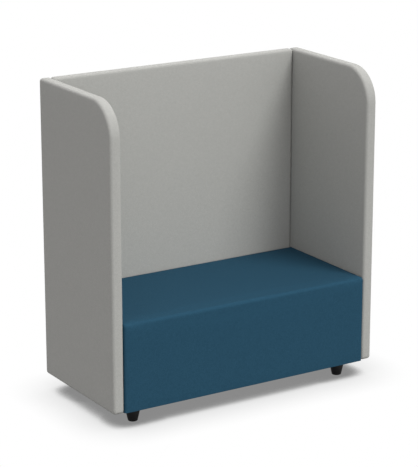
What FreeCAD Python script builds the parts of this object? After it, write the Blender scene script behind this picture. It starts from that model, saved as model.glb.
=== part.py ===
import FreeCAD, Part
import math
import os
import re
import Sketcher

# Acoustic high-back bench: two upholstered side panels, an upholstered back panel
# and a box seat on four screw-in feet. X runs along the bench, +Y to the rear, +Z up,
# and the origin is on the floor under the middle of the bench.

# Driving sizes in millimetres
sizes = {
    # whole bench
    "overall_width": 1300,  # over the outer faces of the side panels
    "overall_height": 1370,  # floor to the tops of the panels
    "panel_depth": 600,  # front to rear edge of a side panel
    "seat_height": 455,  # floor to the seat's top along its edges
    "seat_overhang": 5,  # seat front stands proud of the side panels
    "underside_height": 70,  # floor to the underside of the panels and seat
    # panels
    "side_thickness": 50,
    "back_thickness": 42,
    "top_corner_radius": 148,  # upper front corner of a side panel
    "side_edge_radius": 13,  # rounded arris of the side panels
    "back_edge_radius": 10,  # rounded arris of the back panel
    "corner_margin": 1,  # outline corners are rounder than the arris by this much
    "core_thickness": 18,
    "cover_thickness": 1.5,
    "edge_wadding": 6,  # core edge to the inside of the cover
    "flap_lap": 3,  # cover stapled on to the bottom edge of the core
    "flap_end": 20,  # closed ends of the slot between the stapled flaps
    # seat box
    "frame_board": 18,
    "deck_thickness": 15,
    "seat_foam_thickness": 90,
    "front_padding": 15,
    "seat_crown": 2,  # rise of the seat's top in the middle of its depth
    "seat_front_radius": 18,
    "seat_side_radius": 10,
    "rib_spacing": 400,  # between the middles of the two inner ribs
    "dust_cover_thickness": 1,
    "dust_cover_inset": 9,
    # feet
    "foot_inset": 80,  # foot centre to the outer faces of the seat box
    "foot_top_diameter": 72,
    "foot_bottom_diameter": 42,
    "stud_diameter": 10,
    "stud_depth": 32,  # stud sunk into the foot
    "stud_rise": 70,  # stud standing out of the foot
    "block_height": 45,
    "block_reach": 38,  # block past the centre of the foot
    "block_clip": 22,  # clipped inner corner of the block
    "leg_plate": 50,  # square plate on top of the block
    "leg_plate_thickness": 3,
    "leg_nut_flats": 17,
    "leg_nut_height": 8,
    # bolts between the seat box and the panels
    "bolt_diameter": 8,
    "side_bolt_length": 45,
    "back_bolt_length": 40,
    "bolt_head_flats": 13,
    "bolt_head_height": 5.3,
    "lower_bolt_rise": 90,  # lower bolts above the panels' underside
    "upper_bolt_drop": 43.5,  # upper bolts below the deck
    "side_bolt_spacing": 330,
    "back_bolt_spacing": 840,
    "nut_bar_width": 30,  # threaded bars let into the panel cores
    "nut_bar_thickness": 4,
    "nut_bar_margin": 25,  # bar past its two holes
    "bolt_relief": 12,  # groove behind a bar for the ends of the bolts
    # hooks between the back panel and the side panels
    "lower_hook_rise": 200,  # lower hooks above the seat
    "upper_hook_drop": 190,  # upper hooks below the tops of the panels
    "hook_thickness": 4,
    "hook_height": 24,
    "hook_drop": 10,  # tip below the edge that carries the hook
    "hook_tip": 6,
    "hook_base_width": 14,
    "hook_base_height": 80,
    "slot_plate_width": 20,
    "slot_plate_height": 90,
    "fitting_thickness": 2.5,  # sheet of the hook bases and slot plates
    # clearances
    "module_gap": 0.5,  # seat box and back panel to the panels beside them
    "fit_gap": 0.3,  # foam, boards and fittings to what holds them
    "bolt_gap": 0.5,  # bolts and hooks in their openings
    "stud_gap": 1,  # stud in the corner block, on the radius
    "thread_gap": 0.05,  # threads, on the radius
}

doc = FreeCAD.newDocument("acoustic_bench")
sheet = doc.addObject("Spreadsheet::Sheet", "Sizes")
for row, (alias, size) in enumerate(sizes.items(), start=1):
    sheet.set(f"A{row}", alias)
    sheet.set(f"B{row}", str(size))
    sheet.setAlias(f"B{row}", alias)
doc.recompute()

nodes = []
sides = (("left", -1), ("right", 1))
ends = (("front", -1), ("rear", 1))

# Places that several pieces share, as formulas over the driving sizes
bay_half = "(overall_width / 2 - side_thickness)"
seat_front = "(-(panel_depth + seat_overhang) / 2)"
panel_front = f"({seat_front} + seat_overhang)"
panel_rear = f"({panel_front} + panel_depth)"
back_front = f"({panel_rear} - back_thickness)"
back_middle = f"({panel_rear} - back_thickness / 2)"
back_half = f"({bay_half} - module_gap)"
seat_half = f"({bay_half} - module_gap)"
seat_rear = f"({back_front} - module_gap)"
seat_under = "(underside_height + dust_cover_thickness)"
skin = "(cover_thickness + fit_gap)"
core_inset = "(cover_thickness + edge_wadding)"
frame_half = f"({seat_half} - {skin})"
frame_front = f"({seat_front} + {skin} + front_padding)"
frame_rear = f"({seat_rear} - {skin})"
frame_low = f"({seat_under} + cover_thickness)"
deck_top = "(seat_height - cover_thickness - seat_foam_thickness)"
deck_low = f"({deck_top} - deck_thickness)"
room_half = f"({frame_half} - frame_board)"
room_front = f"({frame_front} + frame_board)"
room_rear = f"({frame_rear} - frame_board)"
room_middle = f"(({room_front} + {room_rear}) / 2)"
side_corner = "(side_edge_radius + corner_margin)"
back_corner = "(back_edge_radius + corner_margin)"
side_foam = "((side_thickness - core_thickness) / 2 - cover_thickness)"
back_foam = "((back_thickness - core_thickness) / 2 - cover_thickness)"
side_core_face = f"({bay_half} + cover_thickness + {side_foam})"
back_core_face = f"({back_front} + cover_thickness + {back_foam})"
block_top = f"({seat_under} + block_height)"
bolt_hole = "(bolt_diameter / 2 + bolt_gap)"
bolt_thread = "(bolt_diameter / 2 + thread_gap)"
stud_thread = "(stud_diameter / 2 + thread_gap)"
bolt_low = "(underside_height + lower_bolt_rise)"
bolt_high = f"({deck_low} - upper_bolt_drop)"
bolt_heights = (bolt_low, bolt_high)
hook_heights = {"lower": "(seat_height + lower_hook_rise)", "upper": "(overall_height - upper_hook_drop)"}
side_bolt_rows = [f"({room_middle} {sign} side_bolt_spacing / 2)" for sign in "-+"]
back_bolt_rows = [f"({sign}back_bolt_spacing / 2)" for sign in "-+"]


# Formulas and spans


def tie(formula):
    return re.sub(r"[a-z_]{2,}", lambda word: f"Sizes.{word[0]}" if word[0] in sizes else word[0], formula)


def number(formula):
    return float(sheet.evalExpression(tie(formula)))


def bind(item, setting, formula):
    item.setExpression(setting, tie(formula))


def place(item, x="0", y="0", z="0"):
    for axis, formula in zip("xyz", (x, y, z)):
        bind(item, f"Placement.Base.{axis}", formula)


def keep(item, label):
    item.Label = label
    nodes.append(item)


# Span along X on the right of the bench, or the same span on the left
def across(sign, low, high):
    return (low, high) if sign > 0 else (f"(-{high})", f"(-{low})")


def around(middle, half):
    return (f"({middle} - {half})", f"({middle} + {half})")


# Plain solids and cuts

turns = {
    "x": FreeCAD.Rotation(FreeCAD.Vector(0, 1, 0), 90),
    "y": FreeCAD.Rotation(FreeCAD.Vector(1, 0, 0), -90),
    "z": FreeCAD.Rotation(),
}


def block(name, x, y, z):
    box = doc.addObject("Part::Box", name)
    for side, (low, high) in zip(("Length", "Width", "Height"), (x, y, z)):
        bind(box, side, f"{high} - {low}")
    place(box, x[0], y[0], z[0])
    return box


# Round or six-sided bar along one axis, at two formulas for the other axes
def bar(kind, name, axis, span, at, radius):
    shape = doc.addObject(kind, name)
    shape.Placement.Rotation = turns[axis]
    bind(shape, "Circumradius" if kind == "Part::Prism" else "Radius", radius)
    bind(shape, "Height", f"{span[1]} - {span[0]}")
    start = list(at)
    start.insert("xyz".index(axis), span[0])
    place(shape, *start)
    return shape


def rod(name, axis, span, at, radius):
    return bar("Part::Cylinder", name, axis, span, at, radius)


def hexagon(name, axis, span, at, flats):
    return bar("Part::Prism", name, axis, span, at, f"{flats} / sqrt(3)")


def group(name, items):
    bundle = doc.addObject("Part::Compound", name)
    bundle.Links = items
    return bundle


def joined(name, items):
    union = doc.addObject("Part::MultiFuse", name)
    union.Shapes = items
    return union


def cut(name, base, tools):
    result = doc.addObject("Part::Cut", name)
    result.Base = base
    result.Tool = tools[0] if len(tools) == 1 else group(f"{name}_tools", tools)
    return result


# Sketched solids


def new_sketch(body, role):
    sketch = body.newObject("Sketcher::SketchObject", f"{body.Name}_outline")
    plane = next(item for item in body.Origin.OriginFeatures if item.Role == role)
    sketch.AttachmentSupport = [(plane, "")]
    sketch.MapMode = "FlatFace"
    return sketch


def dimension(sketch, name, formula, kind, *targets):
    index = sketch.addConstraint(Sketcher.Constraint(kind, *targets, number(formula)))
    sketch.renameConstraint(index, name)
    bind(sketch, f"Constraints.{name}", formula)


# Rectangle whose corners, from lower left and anticlockwise, are round where a radius is given
def rounded_outline(body, role, left, right, low, high, radii):
    sketch = new_sketch(body, role)
    corner_places = ((left, low, 1, 1), (right, low, -1, 1), (right, high, -1, -1), (left, high, 1, -1))
    starts, stops, arcs = [], [], []
    for turn, (x, y, inward_x, inward_y) in enumerate(corner_places):
        corner = FreeCAD.Vector(number(x), number(y), 0)
        if radii[turn] is None:
            arcs.append(None)
            starts.append(corner)
            stops.append(corner)
            continue
        radius = number(radii[turn])
        centre = corner + FreeCAD.Vector(inward_x * radius, inward_y * radius, 0)
        circle = Part.Circle(centre, FreeCAD.Vector(0, 0, 1), radius)
        first = math.pi + turn * math.pi / 2
        arc = Part.ArcOfCircle(circle, first, first + math.pi / 2)
        arcs.append(sketch.addGeometry(arc))
        starts.append(arc.StartPoint)
        stops.append(arc.EndPoint)
    lines = [sketch.addGeometry(Part.LineSegment(stops[i], starts[(i + 1) % 4])) for i in range(4)]
    for turn, line in enumerate(lines):
        sketch.addConstraint(Sketcher.Constraint("Vertical" if turn % 2 else "Horizontal", line))
        arc = arcs[turn]
        if arc is None:
            sketch.addConstraint(Sketcher.Constraint("Coincident", lines[turn - 1], 2, line, 1))
            continue
        sketch.addConstraint(Sketcher.Constraint("Tangent", lines[turn - 1], 2, arc, 1))
        sketch.addConstraint(Sketcher.Constraint("Tangent", arc, 2, line, 1))
        dimension(sketch, f"radius{turn}", radii[turn], "Radius", arc)
    dimension(sketch, "low", low, "DistanceY", -1, 1, lines[0], 1)
    dimension(sketch, "right", right, "DistanceX", -1, 1, lines[1], 1)
    dimension(sketch, "high", high, "DistanceY", -1, 1, lines[2], 1)
    dimension(sketch, "left", left, "DistanceX", -1, 1, lines[3], 1)
    return sketch


def polygon(body, role, corners):
    sketch = new_sketch(body, role)
    points = [FreeCAD.Vector(number(x), number(y), 0) for x, y in corners]
    count = len(points)
    lines = [sketch.addGeometry(Part.LineSegment(points[i], points[(i + 1) % count])) for i in range(count)]
    for turn, (x, y) in enumerate(corners):
        sketch.addConstraint(Sketcher.Constraint("Coincident", lines[turn - 1], 2, lines[turn], 1))
        dimension(sketch, f"across{turn}", x, "DistanceX", -1, 1, lines[turn], 1)
        dimension(sketch, f"up{turn}", y, "DistanceY", -1, 1, lines[turn], 1)
    return sketch


def padded(body, sketch, length):
    pad = body.newObject("PartDesign::Pad", f"{body.Name}_pad")
    pad.Profile = sketch
    pad.SideType = "Symmetric"
    bind(pad, "Length", length)
    doc.recompute()
    return pad


# Fillet or Chamfer on named edges of the body's last feature
def dressed(kind, body, feature, edges, size):
    dressing = body.newObject(f"PartDesign::{kind}", f"{body.Name}_{kind.lower()}")
    dressing.Base = (feature, edges)
    bind(dressing, "Radius" if kind == "Fillet" else "Size", size)
    doc.recompute()
    return dressing


def edges_where(feature, test):
    return [f"Edge{i}" for i, edge in enumerate(feature.Shape.Edges, start=1) if test(edge)]


# Edges round the flat faces of a pad that look along one axis, on the sides given by their signs
def rim(feature, axis, signs):
    box = feature.Shape.BoundBox
    limits = {1: getattr(box, f"{axis.upper()}Max"), -1: getattr(box, f"{axis.upper()}Min")}
    wanted = [limits[sign] for sign in signs]

    def on_face(edge):
        return any(all(abs(getattr(v.Point, axis) - at) < 1e-6 for v in edge.Vertexes) for at in wanted)

    return edges_where(feature, on_face)


# Board or soft slab on one of the body's planes, with an optional rounded or bevelled rim
def slab(name, role, outline, thickness, middle, kind=None, signs=(-1, 1), size=None):
    body = doc.addObject("PartDesign::Body", name)
    pad = padded(body, rounded_outline(body, role, *outline), thickness)
    axis = {"YZ_Plane": "x", "XZ_Plane": "y"}[role]
    if kind:
        dressed(kind, body, pad, rim(pad, axis, signs), size)
    place(body, **{axis: middle})
    return body


# Threaded bars let into a panel's core, and the bolts that reach them from inside the seat box


def bolt(name, axis, seat, reach, at, sign):
    head_span = across(sign, f"({seat} - bolt_head_height)", seat)
    head = hexagon(f"{name}_head", axis, head_span, at, "bolt_head_flats")
    shank_span = across(sign, seat, f"({seat} + {reach})")
    shank = rod(f"{name}_shank", axis, shank_span, at, "(bolt_diameter / 2)")
    return joined(name, [head, shank])


# Box on a bar's row: the bar's own space, or with its gap the recess for it, or the groove behind it
def bar_space(name, axis, depth, row, half, margin):
    height = (f"({bolt_low} - {margin})", f"({bolt_high} + {margin})")
    if axis == "x":
        return block(name, depth, around(row, half), height)
    return block(name, around(row, half), depth, height)


def nut_bar(name, axis, sign, face, row):
    depth = across(sign, face, f"({face} + nut_bar_thickness)")
    blank = bar_space(f"{name}_blank", axis, depth, row, "nut_bar_width / 2", "nut_bar_margin")
    spots = [(row, height) for height in bolt_heights]
    holes = [rod(f"{name}_hole{i}", axis, depth, spot, bolt_thread) for i, spot in enumerate(spots)]
    return cut(name, blank, holes)


def bar_recess(name, axis, sign, face, row):
    depth = across(sign, f"({face} - fit_gap)", f"({face} + nut_bar_thickness)")
    half, margin = "(nut_bar_width / 2 + fit_gap)", "(nut_bar_margin + fit_gap)"
    recess = bar_space(f"{name}_recess", axis, depth, row, half, margin)
    depth = across(sign, face, f"({face} + bolt_relief)")
    groove = bar_space(f"{name}_groove", axis, depth, row, bolt_hole, bolt_hole)
    return joined(name, [recess, groove])


def bolted_joint(name, axis, sign, rows, seat, reach, face):
    spots = [(row, height) for row in rows for height in bolt_heights]
    bolts = [bolt(f"{name}_bolt{i}", axis, seat, reach, spot, sign) for i, spot in enumerate(spots)]
    bars = [nut_bar(f"{name}_bar{i}", axis, sign, face, row) for i, row in enumerate(rows)]
    keep(group(f"{name}_bolt_set", bolts), f"{name}_bolts")
    keep(group(f"{name}_bar_set", bars), f"{name}_nut_bars")


# Holes for one joint's bolts: round in boards, square where cloth or foam is cut by hand
def bolt_holes(name, axis, rows, span, shape):
    spots = [(row, height) for row in rows for height in bolt_heights]
    if shape == "round":
        return [rod(f"{name}{i}", axis, span, spot, bolt_hole) for i, spot in enumerate(spots)]
    holes = []
    for i, (row, height) in enumerate(spots):
        plan = (span, around(row, bolt_hole)) if axis == "x" else (around(row, bolt_hole), span)
        holes.append(block(f"{name}{i}", *plan, around(height, bolt_hole)))
    return holes


# Hooks on the ends of the back panel drop into slotted plates in the side panels

hook_face = f"({back_half} - {skin})"
hook_root = f"({hook_face} - fitting_thickness)"
slot_back = f"({side_core_face} + fitting_thickness)"
tip_inner = f"({slot_back} + fit_gap)"
tip_outer = f"({tip_inner} + hook_tip)"
hook_half = "(hook_thickness / 2 + bolt_gap)"


# Room that a hook needs to be put in from above
def hook_travel(height):
    return (f"({height} - hook_drop - bolt_gap)", f"({height} + hook_height + hook_drop + bolt_gap)")


def hook(name, sign, height):
    top = f"({height} + hook_height)"
    low = f"({height} - hook_drop)"
    outline = [
        (hook_root, top),
        (tip_outer, top),
        (tip_outer, low),
        (tip_inner, low),
        (tip_inner, height),
        (hook_root, height),
    ]
    body = doc.addObject("PartDesign::Body", f"{name}_blade")
    padded(body, polygon(body, "XZ_Plane", [(f"({sign} * {x})", z) for x, z in outline]), "hook_thickness")
    place(body, y=back_middle)
    width = around(back_middle, "hook_base_width / 2")
    tall = around(f"({height} + hook_height / 2)", "hook_base_height / 2")
    base = block(f"{name}_base", across(sign, hook_root, hook_face), width, tall)
    return joined(name, [body, base])


def slot_plate(name, sign, height):
    depth = across(sign, side_core_face, slot_back)
    middle = f"({height} + hook_height / 2)"
    width = around(back_middle, "slot_plate_width / 2")
    plate = block(f"{name}_blank", depth, width, around(middle, "slot_plate_height / 2"))
    slot = block(f"{name}_slot", depth, around(back_middle, hook_half), (height, hook_travel(height)[1]))
    return cut(name, plate, [slot])


def slot_recess(name, sign, height):
    middle = f"({height} + hook_height / 2)"
    width = around(back_middle, "(slot_plate_width / 2 + fit_gap)")
    depth = across(sign, f"({side_core_face} - fit_gap)", slot_back)
    seat = block(f"{name}_seat", depth, width, around(middle, "(slot_plate_height / 2 + fit_gap)"))
    depth = across(sign, side_core_face, f"({tip_outer} + bolt_gap)")
    pocket = block(f"{name}_pocket", depth, around(back_middle, hook_half), hook_travel(height))
    return joined(name, [seat, pocket])


def hook_recess(name, sign, height):
    middle = f"({height} + hook_height / 2)"
    width = around(back_middle, "(hook_base_width / 2 + fit_gap)")
    depth = across(sign, hook_root, f"({hook_face} + fit_gap)")
    return block(name, depth, width, around(middle, "(hook_base_height / 2 + fit_gap)"))


def hook_window(name, sign, low, high, travel):
    return block(name, across(sign, low, high), around(back_middle, hook_half), travel)


def hook_joints():
    for side, sign in sides:
        levels = hook_heights.items()
        hooks = [hook(f"{side}_{level}_hook", sign, height) for level, height in levels]
        plates = [slot_plate(f"{side}_{level}_plate", sign, height) for level, height in levels]
        keep(group(f"{side}_hook_set", hooks), f"{side}_hook_plates")
        keep(group(f"{side}_slot_set", plates), f"{side}_slot_plates")


# Side panels


def side_outline(inset, low=None):
    return (
        f"({panel_front} + {inset})",
        f"({panel_rear} - {inset})",
        low or f"(underside_height + {inset})",
        f"(overall_height - {inset})",
        (None, None, f"max({side_corner} - {inset}; corner_margin)", f"(top_corner_radius - {inset})"),
    )


def side_core(name, sign, middle):
    outline = side_outline(core_inset, "(underside_height + cover_thickness)")
    board = slab(f"{name}_board", "YZ_Plane", outline, "core_thickness", middle)
    rows = enumerate(side_bolt_rows)
    recesses = [bar_recess(f"{name}_bar_recess{i}", "x", sign, side_core_face, row) for i, row in rows]
    recesses += [slot_recess(f"{name}_{level}_recess", sign, height) for level, height in hook_heights.items()]
    keep(cut(f"{name}_board_cut", board, recesses), f"{name}_core")


def side_pads(name, sign, middle):
    soft = f"({side_foam} - fit_gap)"
    bevel = f"min(side_edge_radius - {skin}; {soft} - fit_gap)"
    outline = side_outline(skin)
    for label, outward in (("outer", sign), ("inner", -sign)):
        at = f"({middle} + ({outward}) * (core_thickness + {soft}) / 2)"
        pad = slab(f"{name}_{label}_pad", "YZ_Plane", outline, soft, at, "Chamfer", (outward,), bevel)
        if label == "inner":
            low, high = f"({bay_half} + fit_gap)", f"({side_core_face} + fit_gap)"
            span = across(sign, low, high)
            holes = bolt_holes(f"{name}_pad_hole", "x", side_bolt_rows, span, "square")
            for level, height in hook_heights.items():
                holes.append(hook_window(f"{name}_pad_{level}", sign, low, high, hook_travel(height)))
            pad = cut(f"{name}_{label}_pad_cut", pad, holes)
        keep(pad, f"{name}_{label}_foam")


def side_strip(name, middle):
    strip = slab(f"{name}_strip", "YZ_Plane", side_outline(skin), "core_thickness", middle)
    inside = side_outline(f"({core_inset} - fit_gap)", "underside_height")
    hollow = slab(f"{name}_strip_hollow", "YZ_Plane", inside, "(core_thickness + 2 * fit_gap)", middle)
    keep(cut(f"{name}_strip_cut", strip, [hollow]), f"{name}_edge_strip")


def side_cover(name, sign, middle):
    outline = side_outline("0")
    radius = "side_edge_radius"
    outer = slab(f"{name}_sleeve", "YZ_Plane", outline, "side_thickness", middle, "Fillet", size=radius)
    outline = side_outline("cover_thickness")
    room = "(side_thickness - 2 * cover_thickness)"
    bevel = "(side_edge_radius - cover_thickness)"
    inner = slab(f"{name}_room", "YZ_Plane", outline, room, middle, "Chamfer", size=bevel)
    low, high = f"({bay_half} - fit_gap)", f"({bay_half} + cover_thickness + fit_gap)"
    cuts = bolt_holes(f"{name}_cover_hole", "x", side_bolt_rows, across(sign, low, high), "square")
    for level, height in hook_heights.items():
        cuts.append(hook_window(f"{name}_cover_{level}", sign, low, high, hook_travel(height)))
    length = (f"({panel_front} + flap_end)", f"({panel_rear} - flap_end)")
    width = around(middle, "(core_thickness / 2 - flap_lap)")
    through = ("(underside_height - fit_gap)", "(underside_height + cover_thickness + fit_gap)")
    cuts.append(block(f"{name}_flap_slot", width, length, through))
    shell = cut(f"{name}_shell", outer, [inner])
    keep(cut(f"{name}_shell_cut", shell, cuts), f"{name}_cover")


def side_panel(side, sign):
    name = f"{side}_panel"
    middle = f"({sign} * (overall_width - side_thickness) / 2)"
    side_core(name, sign, middle)
    side_pads(name, sign, middle)
    side_strip(name, middle)
    side_cover(name, sign, middle)
    bolted_joint(name, "x", sign, side_bolt_rows, room_half, "side_bolt_length", side_core_face)


# Back panel, which stands between the side panels


def back_outline(inset, end_inset=None, low_inset=None):
    corner = f"max({back_corner} - {inset}; corner_margin)"
    return (
        f"(-{back_half} + {end_inset or inset})",
        f"({back_half} - {end_inset or inset})",
        f"(underside_height + {low_inset or inset})",
        f"(overall_height - {inset})",
        (None, None, corner, corner),
    )


def back_core():
    outline = back_outline(core_inset, skin, "cover_thickness")
    board = slab("back_board", "XZ_Plane", outline, "core_thickness", back_middle)
    rows = enumerate(back_bolt_rows)
    recesses = [bar_recess(f"back_bar_recess{i}", "y", 1, back_core_face, row) for i, row in rows]
    for side, sign in sides:
        for level, height in hook_heights.items():
            recesses.append(hook_recess(f"back_{side}_{level}_recess", sign, height))
    keep(cut("back_board_cut", board, recesses), "back_panel_core")


def back_pads():
    soft = f"({back_foam} - fit_gap)"
    bevel = f"min(back_edge_radius - {skin}; {soft} - fit_gap)"
    outline = back_outline(skin)
    for label, outward in (("front", -1), ("rear", 1)):
        at = f"({back_middle} + ({outward}) * (core_thickness + {soft}) / 2)"
        pad = slab(f"back_{label}_pad", "XZ_Plane", outline, soft, at, "Chamfer", (outward,), bevel)
        if label == "front":
            span = (f"({back_front} + fit_gap)", f"({back_core_face} + fit_gap)")
            pad = cut("back_pad_cut", pad, bolt_holes("back_pad_hole", "y", back_bolt_rows, span, "square"))
        keep(pad, f"back_panel_{label}_foam")


def back_strip():
    half = f"({back_half} - {back_corner})"
    height = (f"(overall_height - {core_inset})", f"(overall_height - {skin})")
    strip = block("back_strip", (f"(-{half})", half), around(back_middle, "core_thickness / 2"), height)
    keep(strip, "back_panel_edge_strip")


def back_cover():
    outline = back_outline("0")
    radius = "back_edge_radius"
    outer = slab("back_sleeve", "XZ_Plane", outline, "back_thickness", back_middle, "Fillet", size=radius)
    outline = back_outline("cover_thickness")
    room = "(back_thickness - 2 * cover_thickness)"
    bevel = "(back_edge_radius - cover_thickness)"
    inner = slab("back_room", "XZ_Plane", outline, room, back_middle, "Chamfer", size=bevel)
    span = (f"({back_front} - fit_gap)", f"({back_front} + cover_thickness + fit_gap)")
    cuts = bolt_holes("back_cover_hole", "y", back_bolt_rows, span, "square")
    low, high = f"({hook_face} - fit_gap)", f"({back_half} + fit_gap)"
    for side, sign in sides:
        for level, height in hook_heights.items():
            blade = (f"({height} - bolt_gap)", f"({height} + hook_height + bolt_gap)")
            cuts.append(hook_window(f"back_{side}_{level}_window", sign, low, high, blade))
    length = (f"(-{back_half} + flap_end)", f"({back_half} - flap_end)")
    width = around(back_middle, "(core_thickness / 2 - flap_lap)")
    through = ("(underside_height - fit_gap)", "(underside_height + cover_thickness + fit_gap)")
    cuts.append(block("back_flap_slot", length, width, through))
    shell = cut("back_shell", outer, [inner])
    keep(cut("back_shell_cut", shell, cuts), "back_panel_cover")


def back_panel():
    back_core()
    back_pads()
    back_strip()
    back_cover()
    bolted_joint("back_panel", "y", 1, back_bolt_rows, room_rear, "back_bolt_length", back_core_face)


# Seat frame of boards


def seat_frame():
    height = (frame_low, deck_low)
    full = (f"(-{frame_half})", frame_half)
    room = (room_front, room_rear)
    keep(block("front_rail", full, (frame_front, room_front), height), "seat_front_rail")
    board = block("rear_rail", full, (room_rear, frame_rear), height)
    holes = bolt_holes("rear_rail_hole", "y", back_bolt_rows, (room_rear, frame_rear), "round")
    keep(cut("rear_rail_bored", board, holes), "seat_rear_rail")
    for side, sign in sides:
        span = across(sign, room_half, frame_half)
        board = block(f"{side}_end_board", span, room, height)
        holes = bolt_holes(f"{side}_end_hole", "x", side_bolt_rows, span, "round")
        keep(cut(f"{side}_end_bored", board, holes), f"seat_{side}_end")
        rib = around(f"({sign} * rib_spacing / 2)", "frame_board / 2")
        keep(block(f"{side}_rib", rib, room, height), f"seat_{side}_rib")
    keep(block("deck", full, (frame_front, frame_rear), (deck_low, deck_top)), "seat_deck")


# Soft seat: crowned top, full front edge and a cover drawn round the frame


def seat_profile(body, front, rear, low, top):
    sketch = new_sketch(body, "YZ_Plane")
    half = f"(({rear} - {front}) / 2)"
    crown_radius = f"({half} * {half} + seat_crown * seat_crown) / (2 * seat_crown)"
    lower_front = FreeCAD.Vector(number(front), number(low), 0)
    lower_rear = FreeCAD.Vector(number(rear), number(low), 0)
    upper_rear = FreeCAD.Vector(number(rear), number(top), 0)
    upper_front = FreeCAD.Vector(number(front), number(top), 0)
    crown = FreeCAD.Vector(number(f"({front} + {rear}) / 2"), number(f"{top} + seat_crown"), 0)
    base = sketch.addGeometry(Part.LineSegment(lower_front, lower_rear))
    back = sketch.addGeometry(Part.LineSegment(lower_rear, upper_rear))
    arc = sketch.addGeometry(Part.Arc(upper_rear, crown, upper_front))
    face = sketch.addGeometry(Part.LineSegment(upper_front, lower_front))
    for first, second in ((base, back), (back, arc), (arc, face), (face, base)):
        sketch.addConstraint(Sketcher.Constraint("Coincident", first, 2, second, 1))
    sketch.addConstraint(Sketcher.Constraint("Horizontal", base))
    sketch.addConstraint(Sketcher.Constraint("Vertical", back))
    sketch.addConstraint(Sketcher.Constraint("Vertical", face))
    dimension(sketch, "low", low, "DistanceY", -1, 1, base, 1)
    dimension(sketch, "front", front, "DistanceX", -1, 1, base, 1)
    dimension(sketch, "rear", rear, "DistanceX", -1, 1, back, 1)
    dimension(sketch, "rear_top", top, "DistanceY", -1, 1, arc, 1)
    dimension(sketch, "front_top", top, "DistanceY", -1, 1, arc, 2)
    dimension(sketch, "crown", crown_radius, "Radius", arc)
    return sketch


def seat_form(name, inset, low, end_kind):
    front, rear, top = f"({seat_front} + {inset})", f"({seat_rear} - {inset})", f"(seat_height - {inset})"
    body = doc.addObject("PartDesign::Body", name)
    pad = padded(body, seat_profile(body, front, rear, low, top), f"2 * ({seat_half} - {inset})")
    front_y, rear_y, low_z, top_z = (number(formula) for formula in (front, rear, low, top))

    def front_edge(edge):
        return all(abs(v.Y - front_y) < 1e-6 and abs(v.Z - top_z) < 1e-6 for v in edge.Vertexes)

    rounded = dressed("Fillet", body, pad, edges_where(pad, front_edge), f"(seat_front_radius - {inset})")

    def end_edge(edge):
        centre = edge.CenterOfMass
        along = abs(edge.Vertexes[0].X - edge.Vertexes[-1].X) > 1e-6
        return not along and abs(centre.y - rear_y) > 1e-3 and abs(centre.z - low_z) > 1e-3

    dressed(end_kind, body, rounded, edges_where(rounded, end_edge), f"(seat_side_radius - {inset})")
    return body


def seat_padding():
    half = f"({seat_half} - seat_side_radius)"
    depth = (f"({seat_front} + {skin})", frame_front)
    keep(block("front_pad", (f"(-{half})", half), depth, (frame_low, deck_top)), "seat_front_padding")
    keep(seat_form("seat_pad", skin, deck_top, "Chamfer"), "seat_foam")


def seat_cover():
    outer = seat_form("seat_sleeve", "0", seat_under, "Fillet")
    inner = seat_form("seat_room", "cover_thickness", frame_low, "Chamfer")
    through = (f"({seat_under} - fit_gap)", f"({frame_low} + fit_gap)")
    cuts = [block("seat_mouth", (f"(-{room_half})", room_half), (room_front, room_rear), through)]
    wall = (f"({seat_half} - cover_thickness - fit_gap)", f"({seat_half} + fit_gap)")
    for side, sign in sides:
        cuts += bolt_holes(f"seat_{side}_hole", "x", side_bolt_rows, across(sign, *wall), "square")
    wall = (f"({seat_rear} - cover_thickness - fit_gap)", f"({seat_rear} + fit_gap)")
    cuts += bolt_holes("seat_rear_hole", "y", back_bolt_rows, wall, "square")
    shell = cut("seat_shell", outer, [inner])
    keep(cut("seat_shell_cut", shell, cuts), "seat_cover")


def dust_cover():
    half = f"({seat_half} - dust_cover_inset)"
    depth = (f"({seat_front} + dust_cover_inset)", f"({seat_rear} - dust_cover_inset)")
    cloth = block("dust_sheet", (f"(-{half})", half), depth, ("underside_height", seat_under))
    through = ("(underside_height - fit_gap)", f"({seat_under} + fit_gap)")
    hole = "(stud_diameter / 2 + stud_gap)"
    holes = [
        block(f"dust_hole_{corner}", around(x, hole), around(y, hole), through)
        for corner, x, y, _, _ in foot_places()
    ]
    keep(cut("dust_sheet_cut", cloth, holes), "dust_cover")


# Feet: tapered, each on a stud that screws into a plate with a nut on a corner block


def foot_places():
    x = f"({seat_half} - foot_inset)"
    rows = {"front": f"({seat_front} + foot_inset)", "rear": f"({seat_rear} - foot_inset)"}
    return [
        (f"{end}_{side}", f"({side_sign} * {x})", rows[end], side_sign, end_sign)
        for end, end_sign in ends
        for side, side_sign in sides
    ]


def corner_block(corner, x, y, side_sign, end_sign):
    wall_x = f"({side_sign} * {room_half})"
    wall_y = room_front if end_sign < 0 else room_rear
    inner_x = f"({x} - ({side_sign}) * block_reach)"
    inner_y = f"({y} - ({end_sign}) * block_reach)"
    outline = [
        (wall_x, wall_y),
        (wall_x, inner_y),
        (f"({inner_x} + ({side_sign}) * block_clip)", inner_y),
        (inner_x, f"({inner_y} + ({end_sign}) * block_clip)"),
        (inner_x, wall_y),
    ]
    body = doc.addObject("PartDesign::Body", f"block_{corner}")
    padded(body, polygon(body, "XY_Plane", outline), "block_height")
    place(body, z=f"({seat_under} + block_height / 2)")
    bore = rod(f"block_bore_{corner}", "z", (seat_under, block_top), (x, y), "(stud_diameter / 2 + stud_gap)")
    keep(cut(f"block_{corner}_bored", body, [bore]), f"corner_block_{corner}")


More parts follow.
